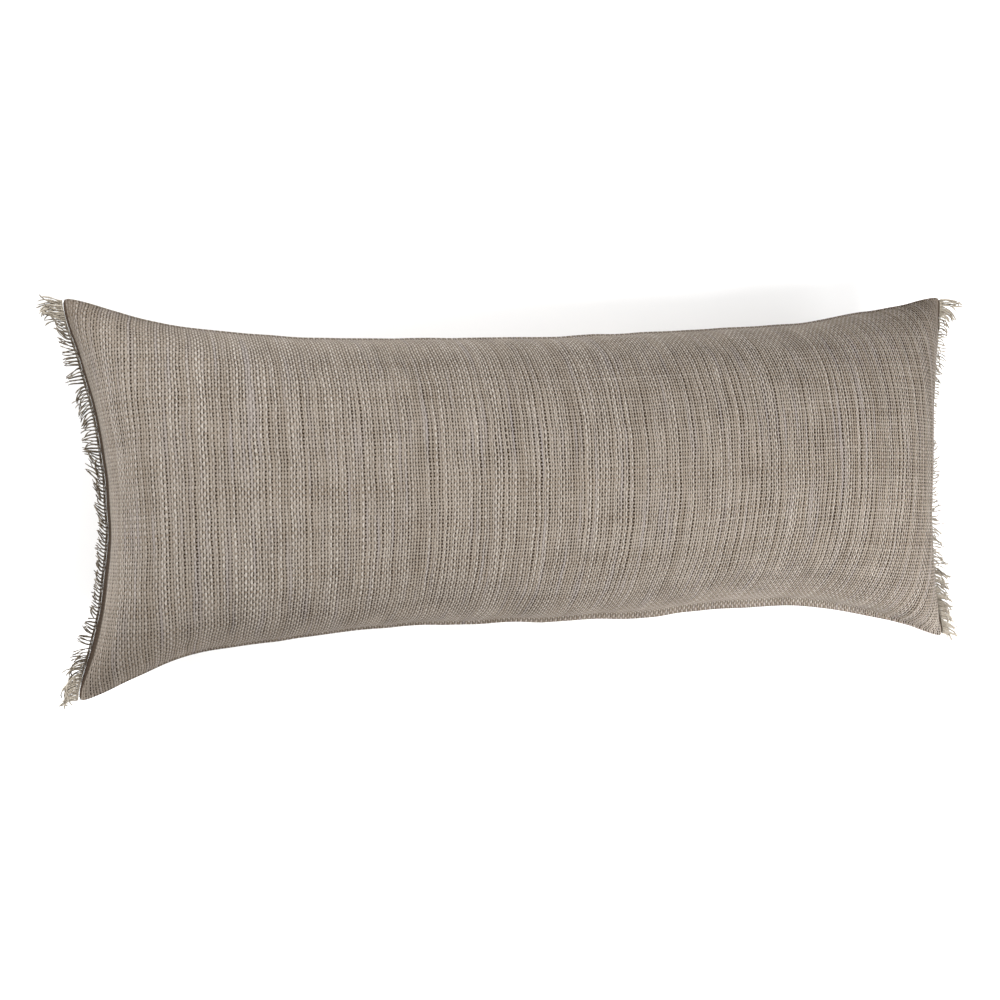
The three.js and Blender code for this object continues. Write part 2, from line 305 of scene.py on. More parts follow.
def feed(tree, sockets, values):
    """Gives each socket its value: a number, a colour or another node's output."""
    for socket, value in zip(sockets, values):
        if isinstance(value, (int, float)):
            socket.default_value = value
        elif isinstance(value, tuple):
            socket.default_value = (*value, 1.0)
        else:
            tree.links.new(value, socket)


def calc(tree, operation, *values, clamp=False):
    """One step of arithmetic in a node tree."""
    node = tree.nodes.new("ShaderNodeMath")
    node.operation = operation
    node.use_clamp = clamp
    feed(tree, node.inputs, values)
    return node.outputs[0]


def place_on(tree, x, y):
    """A point made of two numbers."""
    node = tree.nodes.new("ShaderNodeCombineXYZ")
    feed(tree, node.inputs, (x, y))
    return node.outputs[0]


def mottle(tree, place, scale, detail=2.0, rough=0.5, output="Fac"):
    """Soft noise from 0 to 1 at a point, with scale blotches to the unit."""
    node = tree.nodes.new("ShaderNodeTexNoise")
    node.noise_dimensions = "2D"
    node.inputs["Scale"].default_value = scale
    node.inputs["Detail"].default_value = detail
    node.inputs["Roughness"].default_value = rough
    tree.links.new(place, node.inputs["Vector"])
    return node.outputs[output]


def per_yarn(tree, number):
    """A fixed number from 0 to 1 for each yarn number."""
    node = tree.nodes.new("ShaderNodeTexWhiteNoise")
    node.noise_dimensions = "1D"
    tree.links.new(number, node.inputs["W"])
    return node.outputs["Value"]


def blend(tree, factor, low, high, mode="MIX"):
    """Two colours mixed by a factor."""
    node = tree.nodes.new("ShaderNodeMix")
    node.data_type = "RGBA"
    node.blend_type = mode
    feed(tree, (node.inputs[0], node.inputs[6], node.inputs[7]), (factor, low, high))
    return node.outputs[2]


def yarn_tones(tree, tone, stops):
    """A row of colours from dark to light, read at tone."""
    ramp = tree.nodes.new("ShaderNodeValToRGB")
    tree.links.new(tone, ramp.inputs[0])
    while len(ramp.color_ramp.elements) < len(stops):
        ramp.color_ramp.elements.new(0.5)
    for element, (position, colour) in zip(ramp.color_ramp.elements, stops):
        element.position = position
        element.color = (*colour, 1.0)
    return ramp.outputs[0]


def matte_material(name, roughness, shine):
    """A new dull material, its node tree and its surface node."""
    material = bpy.data.materials.new(name)
    material.use_nodes = True
    surface = material.node_tree.nodes["Principled BSDF"]
    surface.inputs["Roughness"].default_value = roughness
    surface.inputs["Specular IOR Level"].default_value = shine
    return material, material.node_tree, surface


def laid_out(tree, name):
    """Where a point lies in one of its mesh's flat layouts: the point itself and its two numbers."""
    layout = tree.nodes.new("ShaderNodeUVMap")
    layout.uv_map = name
    split = tree.nodes.new("ShaderNodeSeparateXYZ")
    tree.links.new(layout.outputs[0], split.inputs[0])
    return layout.outputs[0], split.outputs[0], split.outputs[1]


def emboss(tree, surface, height, depth):
    """Shades the surface as if it stood out by depth metres where the height is one."""
    bump = tree.nodes.new("ShaderNodeBump")
    bump.inputs["Strength"].default_value = 1.0
    bump.inputs["Distance"].default_value = depth
    tree.links.new(height, bump.inputs["Height"])
    tree.links.new(bump.outputs[0], surface.inputs["Normal"])


def handspun_yarn_group():
    """The yarn that the cloth and its fringe share. Tone is a fixed shade for each yarn, drifting slowly
    along it, with short flecks; Twist is the height of the slanting plies."""
    tree = bpy.data.node_groups.new("handspun_yarn", "ShaderNodeTree")
    for name in ("Along", "Around", "Number"):
        tree.interface.new_socket(name, in_out="INPUT", socket_type="NodeSocketFloat")
    for name in ("Tone", "Twist"):
        tree.interface.new_socket(name, in_out="OUTPUT", socket_type="NodeSocketFloat")
    given = tree.nodes.new("NodeGroupInput").outputs
    made = tree.nodes.new("NodeGroupOutput").inputs
    own = per_yarn(tree, given["Number"])
    lane = calc(tree, "MULTIPLY", given["Number"], 3.7)
    drift = mottle(tree, place_on(tree, calc(tree, "MULTIPLY", given["Along"], 9.0), lane), 1.0, 1.0)
    fleck_lane = calc(tree, "ADD", lane, calc(tree, "MULTIPLY", given["Around"], 3.0))
    fleck = mottle(tree, place_on(tree, calc(tree, "MULTIPLY", given["Along"], 420.0), fleck_lane), 1.0, 1.0)
    tone = calc(tree, "ADD", calc(tree, "MULTIPLY", own, 0.30), calc(tree, "MULTIPLY", drift, 0.45))
    tone = calc(tree, "ADD", tone, calc(tree, "MULTIPLY", calc(tree, "SUBTRACT", fleck, 0.5), 0.95))
    tone = calc(tree, "ADD", tone, 0.125)
    tree.links.new(tone, made["Tone"])
    slant = calc(tree, "ADD", calc(tree, "MULTIPLY", given["Along"], 520.0),
                 calc(tree, "MULTIPLY", given["Around"], 1.0))
    twist = calc(tree, "SINE", calc(tree, "MULTIPLY", slant, 2 * math.pi))
    tree.links.new(twist, made["Twist"])
    return tree


def yarn(tree, along, around, number):
    """The shared yarn placed in a tree, with what it is read at."""
    node = tree.nodes.new("ShaderNodeGroup")
    node.node_tree = handspun_yarn
    for name, value in (("Along", along), ("Around", around), ("Number", number)):
        tree.links.new(value, node.inputs[name])
    return node.outputs


handspun_yarn = handspun_yarn_group()

# The cloth: warp the short way in 2.5 mm columns, weft the long way in 3.1 mm rows, one over and one under
WARP_PITCH = 0.00254
WEFT_PITCH = 0.00310
LILAC_TINT = (0.262, 0.235, 0.230)
CREST_HIGHLIGHT = (0.52, 0.475, 0.425)
END_LIGHT_YARN = (0.46, 0.41, 0.355)
GAP_SHADE = (0.020, 0.012, 0.007)
PAINTED_SHADE = (0.40, 0.35, 0.31)
CREASE_SHADE = (0.058, 0.041, 0.029)
cloth, tree, surface = matte_material("homespun_plain_weave", 0.9, 0.1)
flat_place, flat_along, flat_up = laid_out(tree, "cloth")
wander = tree.nodes.new("ShaderNodeSeparateColor")
tree.links.new(mottle(tree, flat_place, 32.0, 1.0, output="Color"), wander.inputs[0])
length = calc(tree, "ADD", flat_along, calc(tree, "MULTIPLY", wander.outputs[0], 0.0022))
width = calc(tree, "ADD", flat_up, calc(tree, "MULTIPLY", wander.outputs[1], 0.0016))
warp_place = calc(tree, "DIVIDE", length, WARP_PITCH)
weft_place = calc(tree, "DIVIDE", width, WEFT_PITCH)

# Down the steep long sides, and all over the back, the weft zigzags from yarn to yarn, and the yarns lie
# evenly and hide the gaps
from_end = calc(tree, "SUBTRACT", PANEL[0] / 2, calc(tree, "ABSOLUTE", flat_along))
from_edge = calc(tree, "SUBTRACT", PANEL[1] / 2, calc(tree, "ABSOLUTE", flat_up))
cornerless = calc(tree, "MULTIPLY", calc(tree, "SUBTRACT", from_end, 0.03), 9.0, clamp=True)
steep = calc(tree, "SUBTRACT", 1.15, calc(tree, "DIVIDE", from_edge, 0.105), clamp=True)
steep = calc(tree, "MULTIPLY", steep, cornerless)
even = calc(tree, "SUBTRACT", 1.0, calc(tree, "MULTIPLY", steep, 0.85))
zigzag = calc(tree, "MULTIPLY", calc(tree, "SUBTRACT", calc(tree, "PINGPONG", warp_place, 1.0), 0.5), steep)
weft_place = calc(tree, "ADD", weft_place, calc(tree, "MULTIPLY", zigzag, 0.70))
warp_number = calc(tree, "FLOOR", warp_place)
weft_number = calc(tree, "FLOOR", weft_place)
off_warp = calc(tree, "SUBTRACT", calc(tree, "SUBTRACT", warp_place, warp_number), 0.5)
off_weft = calc(tree, "SUBTRACT", calc(tree, "SUBTRACT", weft_place, weft_number), 0.5)

# Over or under: +1 where the warp lies on top
crossing = calc(tree, "PINGPONG", calc(tree, "ADD", warp_number, weft_number), 1.0)
over = calc(tree, "SUBTRACT", 1.0, calc(tree, "MULTIPLY", crossing, 2.0))
warp_wave = calc(tree, "MULTIPLY", over, calc(tree, "COSINE", calc(tree, "MULTIPLY", off_weft, math.pi)))
weft_wave = calc(tree, "MULTIPLY", over, calc(tree, "COSINE", calc(tree, "MULTIPLY", off_warp, math.pi)))

# Handspun yarns are thick and thin, thinner to the right, and the warp lies to one side or the other
warp_slub = mottle(tree, place_on(tree, calc(tree, "MULTIPLY", warp_number, 5.3),
                                  calc(tree, "MULTIPLY", width, 30.0)), 1.0, 3.0, 0.7)
weft_slub = mottle(tree, place_on(tree, calc(tree, "MULTIPLY", length, 60.0),
                                  calc(tree, "MULTIPLY", weft_number, 4.1)), 1.0, 2.0, 0.7)
warp_shift = mottle(tree, place_on(tree, calc(tree, "MULTIPLY", warp_number, 3.1),
                                   calc(tree, "MULTIPLY", width, 9.0)), 1.0, 4.0, 0.6)
own_place = per_yarn(tree, warp_number)
warp_shift = calc(tree, "MULTIPLY", calc(tree, "SUBTRACT", warp_shift, 0.5), 0.75)
own_reach = calc(tree, "ADD", calc(tree, "MULTIPLY", length, 0.55), 0.38)
own_shift = calc(tree, "MULTIPLY", calc(tree, "SUBTRACT", own_place, 0.5), own_reach)
own_shift = calc(tree, "MULTIPLY", calc(tree, "ADD", warp_shift, own_shift), even)
off_warp = calc(tree, "ADD", off_warp, own_shift)
sway = calc(tree, "SINE", calc(tree, "MULTIPLY", calc(tree, "ADD", weft_place, warp_number), math.pi))
off_warp = calc(tree, "ADD", off_warp, calc(tree, "MULTIPLY", sway, 0.09))
warp_half = calc(tree, "ADD", calc(tree, "MULTIPLY", warp_slub, 0.42), 0.13)
weft_half = calc(tree, "ADD", calc(tree, "MULTIPLY", weft_slub, 0.36), 0.13)
warp_half = calc(tree, "SUBTRACT", warp_half, calc(tree, "MULTIPLY", length, 0.13))
weft_half = calc(tree, "SUBTRACT", weft_half, calc(tree, "MULTIPLY", length, 0.09))
hidden = calc(tree, "SUBTRACT", 1.0, calc(tree, "DIVIDE", from_edge, 0.055), clamp=True)
hidden = calc(tree, "MULTIPLY", hidden, cornerless)
warp_half = calc(tree, "ADD", warp_half, calc(tree, "MULTIPLY", hidden, 0.17))
weft_half = calc(tree, "ADD", weft_half, calc(tree, "MULTIPLY", hidden, 0.14))


def yarn_round(off_centre, half):
    """How full a round yarn is at a distance from its middle: 1 - (distance / half width)^2, not below 0."""
    return calc(tree, "MAXIMUM", calc(tree, "SUBTRACT", 1.0, calc(
        tree, "POWER", calc(tree, "ABSOLUTE", calc(tree, "DIVIDE", off_centre, half)), 2.0)), 0.0)


def yarn_height(fullness, wave, swing, thickness, lift):
    """A yarn's height: its wave over and under, the root of its fullness and its lift, dropping away past
    its edge."""
    top = calc(tree, "ADD", calc(tree, "MULTIPLY", wave, swing), calc(
        tree, "MULTIPLY", calc(tree, "SQRT", fullness), thickness))
    there = calc(tree, "MULTIPLY", fullness, 4.0, clamp=True)
    return calc(tree, "SUBTRACT", calc(tree, "MULTIPLY", calc(tree, "ADD", top, 1.0 + lift), there), 1.0)


# The warp lies nearly straight and high, and the weft does most of the bending
warp_height = yarn_height(yarn_round(off_warp, warp_half), warp_wave, 0.28, 0.60, 0.08)
weft_height = yarn_height(yarn_round(off_weft, weft_half), weft_wave, -0.52, 0.42, -0.04)
weave_height = calc(tree, "MAXIMUM", warp_height, weft_height)
warp_shows = calc(tree, "GREATER_THAN", warp_height, weft_height)

warp_yarn = yarn(tree, width, calc(tree, "DIVIDE", off_warp, warp_half), warp_number)
weft_yarn = yarn(tree, length, calc(tree, "DIVIDE", off_weft, weft_half), calc(
    tree, "ADD", weft_number, 700.0))
warp_colour = yarn_tones(tree, warp_yarn["Tone"], [
    (0.10, (0.186, 0.148, 0.113)), (0.35, (0.252, 0.214, 0.174)), (0.60, (0.313, 0.277, 0.241)),
    (0.80, (0.400, 0.361, 0.321)), (1.00, (0.60, 0.555, 0.50))])
weft_colour = yarn_tones(tree, weft_yarn["Tone"], [
    (0.10, (0.170, 0.131, 0.097)), (0.50, (0.236, 0.198, 0.160)), (1.00, (0.318, 0.278, 0.237))])
colour = blend(tree, warp_shows, weft_colour, warp_colour)
lilac = mottle(tree, place_on(tree, calc(tree, "MULTIPLY", warp_number, 2.9),
                              calc(tree, "MULTIPLY", width, 14.0)), 1.0, 0.0)
lilac = calc(tree, "MULTIPLY", calc(tree, "SUBTRACT", lilac, 0.62), 2.0, clamp=True)
colour = blend(tree, lilac, colour, LILAC_TINT)
# Painted highlight: the warp's crests on the steep long sides are painted paler, as light falling on them
crest_highlight = calc(tree, "MULTIPLY", calc(tree, "SUBTRACT", warp_height, 0.55), 2.2, clamp=True)
crest_highlight = calc(tree, "MULTIPLY", crest_highlight, calc(tree, "MULTIPLY", steep, 0.38))
colour = blend(tree, crest_highlight, colour, CREST_HIGHLIGHT)
# Painted shade in the weave's hollows: darker where the yarns lie low, between them and in the gaps, more on
# the steep sides
openness = calc(tree, "MULTIPLY", calc(tree, "SUBTRACT", wander.outputs[2], 0.5), 0.30)
depth = calc(tree, "SUBTRACT", calc(tree, "MULTIPLY", weave_height, 0.95), openness)
depth = calc(tree, "SUBTRACT", depth, calc(tree, "MULTIPLY", steep, 0.14))
depth = calc(tree, "ADD", depth, 0.31, clamp=True)

# Beside each end seam, but for the lower corners, the painted shade in the gaps is lifted so the weave reads
# as shut, and the yarn is painted a little paler there as painted light
shut = calc(tree, "SUBTRACT", 1.0, calc(tree, "DIVIDE", from_end, 0.022), clamp=True)
not_low = calc(tree, "DIVIDE", calc(tree, "ADD", flat_up, 0.14), 0.10, clamp=True)
depth = calc(tree, "MAXIMUM", depth, calc(tree, "MULTIPLY", calc(tree, "MULTIPLY", shut, not_low), 0.80))
# Painted light: the yarn is painted paler within about 40 mm of the end seams, but not by the upper edge
end_light = calc(tree, "SUBTRACT", 0.35, calc(tree, "DIVIDE", from_end, 0.12), clamp=True)
low_down = calc(tree, "DIVIDE", calc(tree, "SUBTRACT", 0.15, flat_up), 0.06, clamp=True)
colour = blend(tree, calc(tree, "MULTIPLY", end_light, low_down), colour, END_LIGHT_YARN)
colour = blend(tree, depth, GAP_SHADE, colour)

# Painted shade towards the upper corners, the lower left edge and the back's ends, and then painted shade in
# the crease beside the front's end seams
upper = calc(tree, "DIVIDE", calc(tree, "SUBTRACT", flat_up, 0.118), 0.055, clamp=True)
cornered = calc(tree, "POWER", calc(tree, "DIVIDE", flat_along, PANEL[0] / 2), 2.0)
upper = calc(tree, "MULTIPLY", calc(tree, "MULTIPLY", upper, cornered), 0.52)
lower = calc(tree, "DIVIDE", calc(tree, "SUBTRACT", -0.08, flat_up), 0.08, clamp=True)
leftward = calc(tree, "DIVIDE", calc(tree, "SUBTRACT", 0.28, flat_along), 0.55, clamp=True)
lower = calc(tree, "MULTIPLY", calc(tree, "MULTIPLY", lower, leftward), 0.50)
colour = blend(tree, calc(tree, "MAXIMUM", upper, lower), colour, PAINTED_SHADE, "MULTIPLY")
# Painted shade in the crease beside the front's end seams: up to about 10 mm wide low down, narrowing
# upwards, none on the back
above = calc(tree, "DIVIDE", calc(tree, "SUBTRACT", 0.12, flat_up), 0.25, clamp=True)
below = calc(tree, "DIVIDE", calc(tree, "ADD", 0.163, flat_up), 0.028, clamp=True)
crease_shade_width = calc(tree, "ADD", calc(tree, "MULTIPLY", calc(tree, "MULTIPLY", above, below), 0.0105), 0.0001)
crease_shade = calc(tree, "SUBTRACT", 1.0, calc(tree, "DIVIDE", from_end, crease_shade_width))
crease_shade = calc(tree, "MULTIPLY", crease_shade, 2.5, clamp=True)
colour = blend(tree, calc(tree, "MULTIPLY", crease_shade, 0.95), colour, CREASE_SHADE)
tree.links.new(colour, surface.inputs["Base Color"])
plies = calc(tree, "MULTIPLY", calc(tree, "ADD", warp_yarn["Twist"], weft_yarn["Twist"]), 0.04)
emboss(tree, surface, calc(tree, "ADD", calc(tree, "MAXIMUM", weave_height, -0.5), plies), 0.0006)
cover_mesh.materials.append(cloth)

# The left fringe
# The short ends are left raw and frayed: the weft yarns of both panels run out past the seam as two layers
# of short hooked strands. Two yarns a layer are left along the seam, woven through the strands.
BAND_WIDTH = 0.0020          # how far the woven band reaches past the seam
CLEAR_OF_SEAM = 0.0010       # past the first held yarn, a strand's middle line stays this far off the seam
STRAND_RADIUS = 0.00060
STRAND_PITCH = 0.00310       # a strand for each row of the weave, in each layer
STRAND_PLACES = np.array([0.0003, 0.0007, 0.0018])     # off the seam: the root, then each held yarn
ROOT_SIZE, TIP_SIZE = 0.45, 0.55     # of the strand's radius; the narrow root stays off the cover
STRAIGHT_PAST_BAND = 0.0006  # how far past the band a strand's free part begins
FREE_SHARES = np.array([0.07, 0.20, 0.36, 0.54, 0.71, 0.86, 1.0])
TWIST = 180.0                # radians that a strand's plies turn in a metre
NARROW_SIDE = 0.72           # a strand's narrow side as a share of its wide one
LAYER_RISE = 0.0008          # half the distance between the layers at the seam
TIP_RISE = 0.0026            # how far the layers' tips part on top of that
HELD_YARNS = (0.0007, 0.0018)     # off the seam
HELD_RADIUS = 0.00055
HELD_RISE = 0.00045          # how far a held yarn passes over and under the strands
STRAND_RISE = 0.00040        # how far a strand passes over and under the held yarns
# Paler yarn where the strands are loose, partly their own paler fibres and partly painted light
LOOSE_LIT_YARN = (0.50, 0.45, 0.375)
# Painted shade on the strands beside the seam
ROOT_SHADE_YARN = (0.070, 0.050, 0.036)

# Distance from the centre line, lean of the strands towards the upper edge, further turn of their tips, and
# length of their free part
LEFT_LAY = np.array([
    (-0.172, -16, -40, 0.0145), (-0.166, -10, -110, 0.0170), (-0.158, -5, -150, 0.0180),
    (-0.150, -8, -110, 0.0165), (-0.142, -4, -80, 0.0155), (-0.133, 0, -50, 0.0140),
    (-0.124, 12, 0, 0.0112), (-0.112, 38, 15, 0.0085), (-0.102, 44, 12, 0.0072),
    (-0.074, 50, 10, 0.0078), (-0.026, 48, 12, 0.0090), (0.004, 44, 20, 0.0115),
    (0.018, 38, 28, 0.0160), (0.034, 30, 30, 0.0128), (0.050, 5, -60, 0.0122),
    (0.064, -20, -50, 0.0106), (0.082, -38, -45, 0.0132), (0.096, -20, -40, 0.0128),
    (0.108, 0, 10, 0.0114), (0.119, -26, -20, 0.0104), (0.132, 24, 20, 0.0122),
    (0.150, 18, 15, 0.0126), (0.157, 8, -10, 0.0168), (0.1692, 4, -25, 0.0185),
    (0.1700, 30, -4, 0.0140), (0.172, 30, -4, 0.0140),
])


def tubes(paths, radii, turn):
    """Four-sided tubes round paths that lie nearly level, with a wide and a narrow side that turn steadily,
    as two twisted plies do. Both ends are closed. Gives points, faces, and where each face corner lies
    along and around its tube."""
    count, rows = paths.shape[:2]
    heading = np.gradient(paths, axis=1)
    heading /= np.linalg.norm(heading, axis=2, keepdims=True)
    across = np.cross((0.0, 0.0, 1.0), heading)
    across /= np.linalg.norm(across, axis=2, keepdims=True)
    upward = np.cross(heading, across)
    steps = np.linalg.norm(np.diff(paths, axis=1), axis=2)
    along = np.concatenate([np.zeros((count, 1)), np.cumsum(steps, axis=1)], axis=1)
    side = np.arange(4)
    angle = side * math.pi / 2 + turn[:, None, None] + along[:, :, None] * TWIST
    reach = radii[:, :, None] * np.where(side % 2, NARROW_SIDE, 1.0)
    points = paths[:, :, None] + across[:, :, None] * (reach * np.cos(angle))[..., None] + (
        upward[:, :, None] * (reach * np.sin(angle))[..., None])
    number = np.arange(count * rows * 4).reshape(count, rows, 4)
    here, there = number[:, :-1], number[:, 1:]
    walls = np.stack([here, np.roll(here, -1, 2), np.roll(there, -1, 2), there], -1)
    ends = np.stack([number[:, 0, ::-1], number[:, -1]], 1)
    wall_along = np.broadcast_to(
        np.stack([along[:, :-1], along[:, :-1], along[:, 1:], along[:, 1:]], -1)[:, :, None], walls.shape)
    wall_around = np.broadcast_to(
        (np.stack([side, side + 1, side + 1, side], -1) / 4.0)[None, None], walls.shape)
    end_along = np.broadcast_to(along[:, [0, -1], None], ends.shape)
    faces = np.concatenate([walls.reshape(-1, 4), ends.reshape(-1, 4)])
    placed = np.stack([
        np.concatenate([wall_along.ravel(), end_along.ravel()]),
        np.concatenate([wall_around.ravel(), np.full(ends.size, 0.5)])], -1)
    return points.reshape(-1, 3), faces, placed


def strand_paths(side, lay, layer, line, chance):
    """The middle lines of one layer's strands, twice as close by the corners. A strand runs straight out
    over and under the held yarns, then turns to its lean and on to its hook; bunches of two to five draw
    together at their tips. Also gives their places, which way they weave and how much painted shade they
    get beside the seam."""
    y = np.arange(lay[0, 0] + 0.002, lay[-1, 0] - 0.001, STRAND_PITCH) + 0.0003 * layer
    tucked = y[(y > 0.150) | (y < (-0.135 if side < 0 else -0.100))] + STRAND_PITCH / 2
    y = np.sort(np.concatenate([y, tucked - (tucked > 0.170) * STRAND_PITCH]))
    count = len(y)
    bunch = np.cumsum(np.isin(np.arange(count), np.cumsum(chance.integers(2, 6, count))))
    shared = chance.normal(0, 1, (bunch.max() + 1, 2))[bunch]
    stray = chance.random(count) < 0.07
    lean = np.radians(np.interp(y, lay[:, 0], lay[:, 1]) + 9 * shared[:, 0] + (
        5 + 18 * stray) * chance.normal(0, 1, count))
    hook = np.radians(np.interp(y, lay[:, 0], lay[:, 2]) + 15 * shared[:, 1] + chance.normal(0, 1, count) * (
        np.where(np.abs(y) > 0.138, 40, 24)))
    free = np.interp(y, lay[:, 0], lay[:, 3]) * (1 + chance.normal(0, 0.10, count))
    free_places = BAND_WIDTH + STRAIGHT_PAST_BAND + free[:, None] * FREE_SHARES
    places = np.concatenate([np.broadcast_to(STRAND_PLACES, (count, len(STRAND_PLACES))), free_places], 1)
    share = np.clip((places - BAND_WIDTH) / free[:, None], 0, 1)
    middle = (share[:, 1:] + share[:, :-1]) / 2
    heading = lean[:, None] * np.minimum(middle / 0.25, 1) + hook[:, None] * middle**2
    step = np.diff(places, axis=1)
    start = np.stack([np.interp(y, line[:, 1], line[:, 0]) + places[:, 0], y], -1)[:, None]
    moves = np.stack([step * np.cos(heading), step * np.sin(heading)], -1)
    plan = np.concatenate([start, start + np.cumsum(moves, axis=1)], axis=1)
    tips = plan[:, -1]
    centre = np.stack([np.bincount(bunch, tips[:, axis]) / np.bincount(bunch) for axis in (0, 1)], -1)[bunch]
    stray |= (side < 0) & (layer > 0) & (y > 0.1696)
    pull = np.where(stray, 0.0, np.where(np.abs(y) > 0.150, 0.35, 0.5 if side < 0 else 0.25))[:, None, None]
    plan = plan + pull * (centre - tips)[:, None] * share[:, :, None] ** 1.5
    seam = np.interp(plan[..., 1], line[:, 1], line[:, 0])
    plan[..., 0] = np.maximum(plan[..., 0], seam + np.minimum(places, CLEAR_OF_SEAM))
    parity = np.where(np.arange(count) % 2, 1.0, -1.0)[:, None]
    weave = np.cos(math.pi * (places - HELD_YARNS[0]) / (HELD_YARNS[1] - HELD_YARNS[0]))
    weave = parity * weave * STRAND_RISE * (places < BAND_WIDTH + 0.0003)
    drift = chance.normal(0, 0.0006, (count, 1)) * share
    height = layer * (LAYER_RISE + TIP_RISE * share) + weave + drift
    paths = np.concatenate([side * plan[..., :1], plan[..., 1:], SEAM_HEIGHT + height[..., None]], -1)
    # Painted shade on the strands' roots beside the seam: none at the top corners, weaker at the bottom
    # corners and the right end
    shade = np.clip(1 - y / 0.165, 0, 1) * np.clip((y + 0.175) / 0.035, 0.2, 1)
    shade = shade * (1.0 if side < 0 else 0.8)
    return paths, y, parity, shade[:, None] * np.clip(1.4 - places / 0.0022, 0, 1)


def loose_and_lit_share(side, y):
    """How far the strands have untwisted, thicker for it, and how far they are painted paler, partly for
    their
    loose fibres and partly as painted light: wholly by the corners, and well so at the right end."""
    return np.clip((np.abs(y) - 0.135) / 0.025, 0.85 if side > 0 else 0, 1)


def frayed_end(name, side, lay, seed):
    """One end's mesh: both layers of strands and the held yarns. Each point knows its yarn's number, how
    much painted shade it gets beside the seam, and how loose it has come and how much painted light it gets."""
    chance = np.random.default_rng(seed)
    column = 0 if side < 0 else along_count
    line = np.stack([np.abs(front_panel[column, :, 0]) + END_LIP, front_panel[column, :, 1]], -1)
    points, faces, placed, root_shade, loose_and_lit, numbers = [], [], [], [], [], []

    def add(paths, radii, root_shade_share):
        """Adds tubes, each with the next number."""
        count, rows = paths.shape[:2]
        own_points, own_faces, own_placed = tubes(paths, radii, chance.uniform(0, 6, count))
        first = numbers[-1][-1] + 1 if numbers else 0
        faces.append(own_faces + sum(len(earlier) for earlier in points))
        points.append(own_points)
        placed.append(own_placed)
        root_shade.append(np.repeat(np.broadcast_to(root_shade_share, (count, rows)), 4))
        loose_and_lit.append(loose_and_lit_share(side, own_points[:, 1]))
        numbers.append(first + np.repeat(np.arange(count), 4 * rows))

    for layer in (1, -1):
        paths, y, parity, root_shade_share = strand_paths(side, lay, layer, line, chance)
        swell = 1 + 0.16 * np.sin(chance.uniform(0, 6, (len(y), 1)) + np.arange(paths.shape[1]) * 1.9)
        swell *= 1 + 0.25 * loose_and_lit_share(side, y)[:, None]
        swell[:, 0] = ROOT_SIZE
        swell[:, -1] = TIP_SIZE
        add(paths, STRAND_RADIUS * swell, root_shade_share)
        for place, sign in zip(HELD_YARNS, (-1, 1)):
            held = np.stack([
                side * (np.interp(y, line[:, 1], line[:, 0]) + place), y,
                SEAM_HEIGHT + layer * LAYER_RISE + sign * parity[:, 0] * HELD_RISE], -1)[None]
            add(held, np.full((1, len(y)), HELD_RADIUS), root_shade_share[None, :, 2])
    mesh = bpy.data.meshes.new(name)
    mesh.from_pydata((np.concatenate(points) + to_frame).tolist(), [], np.concatenate(faces).tolist())
    mesh.shade_smooth()
    mesh.uv_layers.new(name="yarn").data.foreach_set("uv", np.concatenate(placed).astype(np.float32).ravel())
    for label, values in (("yarn_number", numbers), ("root_shade", root_shade), ("loose_and_lit", loose_and_lit)):
        mesh.attributes.new(label, "FLOAT", "POINT").data.foreach_set(
            "value", np.concatenate(values).astype(np.float32))
    end = bpy.data.objects.new(name, mesh)
    bpy.context.scene.collection.objects.link(end)
    mesh.materials.append(fringe)
    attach(end, "root")
    return end


def point_value(tree, name):
    """A number that the mesh keeps at each point."""
    node = tree.nodes.new("ShaderNodeAttribute")
    node.attribute_name = name
    return node.outputs["Fac"]


# The fringe's yarn: the cloth's own, darker with painted shade beside the seam, and paler where it is loose,
# partly as painted light
fringe, tree, surface = matte_material("frayed_yarn", 0.85, 0.15)
yarn_number, root_shade, loose_and_lit = (point_value(tree, name) for name in ("yarn_number", "root_shade", "loose_and_lit"))
along_yarn, round_yarn = laid_out(tree, "yarn")[1:]
strand = yarn(tree, along_yarn, round_yarn, yarn_number)
colour = yarn_tones(tree, strand["Tone"], [
    (0.15, (0.052, 0.039, 0.027)), (0.40, (0.115, 0.092, 0.067)), (0.60, (0.20, 0.168, 0.128)),
    (0.90, (0.46, 0.41, 0.34))])
own_tone = per_yarn(tree, calc(tree, "MULTIPLY", yarn_number, 1.37))
paleness = calc(tree, "ADD", calc(tree, "MULTIPLY", own_tone, 0.85), 0.10)
colour = blend(tree, calc(tree, "MULTIPLY", loose_and_lit, paleness), colour, LOOSE_LIT_YARN)
colour = blend(tree, calc(tree, "MULTIPLY", root_shade, 0.9), colour, ROOT_SHADE_YARN)
tree.links.new(colour, surface.inputs["Base Color"])
emboss(tree, surface, strand["Twist"], 0.00012)

left_fringe = frayed_end("left_frayed_yarns", -1, LEFT_LAY, 5)
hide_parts("left_fringe")

